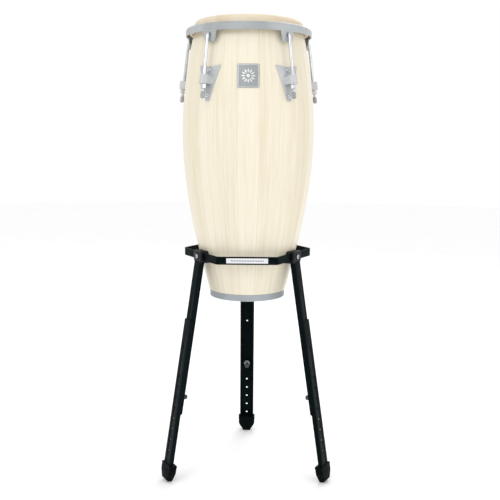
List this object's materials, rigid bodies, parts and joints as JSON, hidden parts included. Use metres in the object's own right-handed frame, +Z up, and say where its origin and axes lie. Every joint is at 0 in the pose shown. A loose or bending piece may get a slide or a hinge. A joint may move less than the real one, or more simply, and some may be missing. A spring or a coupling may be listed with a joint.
{
  "type": "conga drum on stand",
  "caption": "Tall barrel-shaped hand drum with a hide head and tuning hooks, resting in a hexagonal ring stand on splayed telescopic legs.",
  "frame": {"origin": "on the floor, straight below the drum's axis", "axes": "+Z up along the drum's axis, -Y towards the front (the badge), +X to the right seen from the front"},
  "size_m": [0.4526, 0.4242, 1.202],
  "materials": {
    "shell_wood": "clear satin lacquer",
    "head_skin": "matt natural hide",
    "grey_steel": "satin grey coat",
    "band_grey": "satin grey coat",
    "rod_chrome": "polished",
    "hoop_steel": "plain drawn wire",
    "inner_steel": "zinc plated",
    "badge_metal": "dark enamel with raised border",
    "stand_black": "black powder coat",
    "clamp_plastic": "moulded, fine grain",
    "pad_rubber": "matt",
    "boot_rubber": "matt",
    "zinc": "bright zinc plate",
    "spring_steel": "plain",
    "knob_plastic": "moulded, blue-grey sheen",
    "cap_rubber": "matt grey",
    "label_white": "blank white film"
  },
  "bodies": {
    "stand": {"ring_strap": "stand_black", "ring_label": "label_white", "clamp_covers": "clamp_plastic", "rest_pads": "pad_rubber", "clamp_bolts": "zinc", "clamp_nuts": "zinc", "pin_barrels": "zinc", "pin_spring_back": "spring_steel", "pin_spring_front_left": "spring_steel", "pin_spring_front_right": "spring_steel", "upper_leg_back": "stand_black", "upper_leg_front_left": "stand_black", "upper_leg_front_right": "stand_black"},
    "lower_leg_back": {"lower_leg_back": "stand_black", "foot_back": "boot_rubber"},
    "lower_leg_front_left": {"lower_leg_front_left": "stand_black", "foot_front_left": "boot_rubber"},
    "lower_leg_front_right": {"lower_leg_front_right": "stand_black", "foot_front_right": "boot_rubber"},
    "lock_pin_back": {"lock_pin_back": "zinc", "pull_knob_back": "knob_plastic"},
    "lock_pin_front_left": {"lock_pin_front_left": "zinc", "pull_knob_front_left": "knob_plastic"},
    "lock_pin_front_right": {"lock_pin_front_right": "zinc", "pull_knob_front_right": "knob_plastic"},
    "drum": {"shell_staves": "shell_wood", "bottom_band": "band_grey", "head_skin": "head_skin", "flesh_hoop": "hoop_steel", "side_plates": "grey_steel", "lug_receivers": "grey_steel", "hook_washers": "rod_chrome", "plate_bolts": "rod_chrome", "plate_washers": "inner_steel", "plate_nuts": "inner_steel", "badge": "badge_metal"},
    "rim": {"rim": "grey_steel", "rim_ears": "grey_steel", "tuning_hooks": "rod_chrome", "hook_tail_caps": "cap_rubber"},
    "tuning_nut_1": {"tuning_nut_1": "rod_chrome"},
    "tuning_nut_2": {"tuning_nut_2": "rod_chrome"},
    "tuning_nut_3": {"tuning_nut_3": "rod_chrome"},
    "tuning_nut_4": {"tuning_nut_4": "rod_chrome"},
    "tuning_nut_5": {"tuning_nut_5": "rod_chrome"}
  },
  "joints": [
    {"name": "leg_length_back", "type": "slide", "parent": "stand", "child": "lower_leg_back", "axis": [0, 0.1628, -0.9867], "range_m": [-0.114, 0.057]},
    {"name": "leg_length_front_left", "type": "slide", "parent": "stand", "child": "lower_leg_front_left", "axis": [-0.141, -0.0814, -0.9867], "range_m": [-0.114, 0.057]},
    {"name": "leg_length_front_right", "type": "slide", "parent": "stand", "child": "lower_leg_front_right", "axis": [0.141, -0.0814, -0.9867], "range_m": [-0.114, 0.057]},
    {"name": "pin_pull_back", "type": "slide", "parent": "stand", "child": "lock_pin_back", "axis": [0, -0.9867, -0.1628], "range_m": [0, 0.004], "stiffness_N_per_m": 600, "springref_m": -0.003, "deforming": ["pin_spring_back"]},
    {"name": "pin_pull_front_left", "type": "slide", "parent": "stand", "child": "lock_pin_front_left", "axis": [0.8545, 0.4933, -0.1628], "range_m": [0, 0.004], "stiffness_N_per_m": 600, "springref_m": -0.003, "deforming": ["pin_spring_front_left"]},
    {"name": "pin_pull_front_right", "type": "slide", "parent": "stand", "child": "lock_pin_front_right", "axis": [-0.8545, 0.4933, -0.1628], "range_m": [0, 0.004], "stiffness_N_per_m": 600, "springref_m": -0.003, "deforming": ["pin_spring_front_right"]},
    {"name": "drum_lift", "type": "slide", "parent": "stand", "child": "drum", "axis": [0, 0, 1], "range_m": [0, 0.18]},
    {"name": "rim_pull", "type": "slide", "parent": "drum", "child": "rim", "axis": [0, 0, -1], "range_m": [0, 0.00141]},
    {"name": "nut_turn_1", "type": "hinge", "parent": "drum", "child": "tuning_nut_1", "pos_m": [0.10892, -0.14991, 1.0335], "axis": [-0.0815, 0.1122, 0.9903], "range_deg": [0, 361]},
    {"name": "nut_turn_2", "type": "hinge", "parent": "drum", "child": "tuning_nut_2", "pos_m": [0.17623, 0.05726, 1.0335], "axis": [-0.1319, -0.0428, 0.9903], "range_deg": [0, 361]},
    {"name": "nut_turn_3", "type": "hinge", "parent": "drum", "child": "tuning_nut_3", "pos_m": [0, 0.1853, 1.0335], "axis": [0, -0.1386, 0.9903], "range_deg": [0, 361]},
    {"name": "nut_turn_4", "type": "hinge", "parent": "drum", "child": "tuning_nut_4", "pos_m": [-0.17623, 0.05726, 1.0335], "axis": [0.1319, -0.0428, 0.9903], "range_deg": [0, 361]},
    {"name": "nut_turn_5", "type": "hinge", "parent": "drum", "child": "tuning_nut_5", "pos_m": [-0.10892, -0.14991, 1.0335], "axis": [0.0815, 0.1122, 0.9903], "range_deg": [0, 361]}
  ],
  "couplings": [
    {"joint": "nut_turn_1", "follows": "rim_pull", "rad_per_m": 4453},
    {"joint": "nut_turn_2", "follows": "rim_pull", "rad_per_m": 4453},
    {"joint": "nut_turn_3", "follows": "rim_pull", "rad_per_m": 4453},
    {"joint": "nut_turn_4", "follows": "rim_pull", "rad_per_m": 4453},
    {"joint": "nut_turn_5", "follows": "rim_pull", "rad_per_m": 4453}
  ]
}
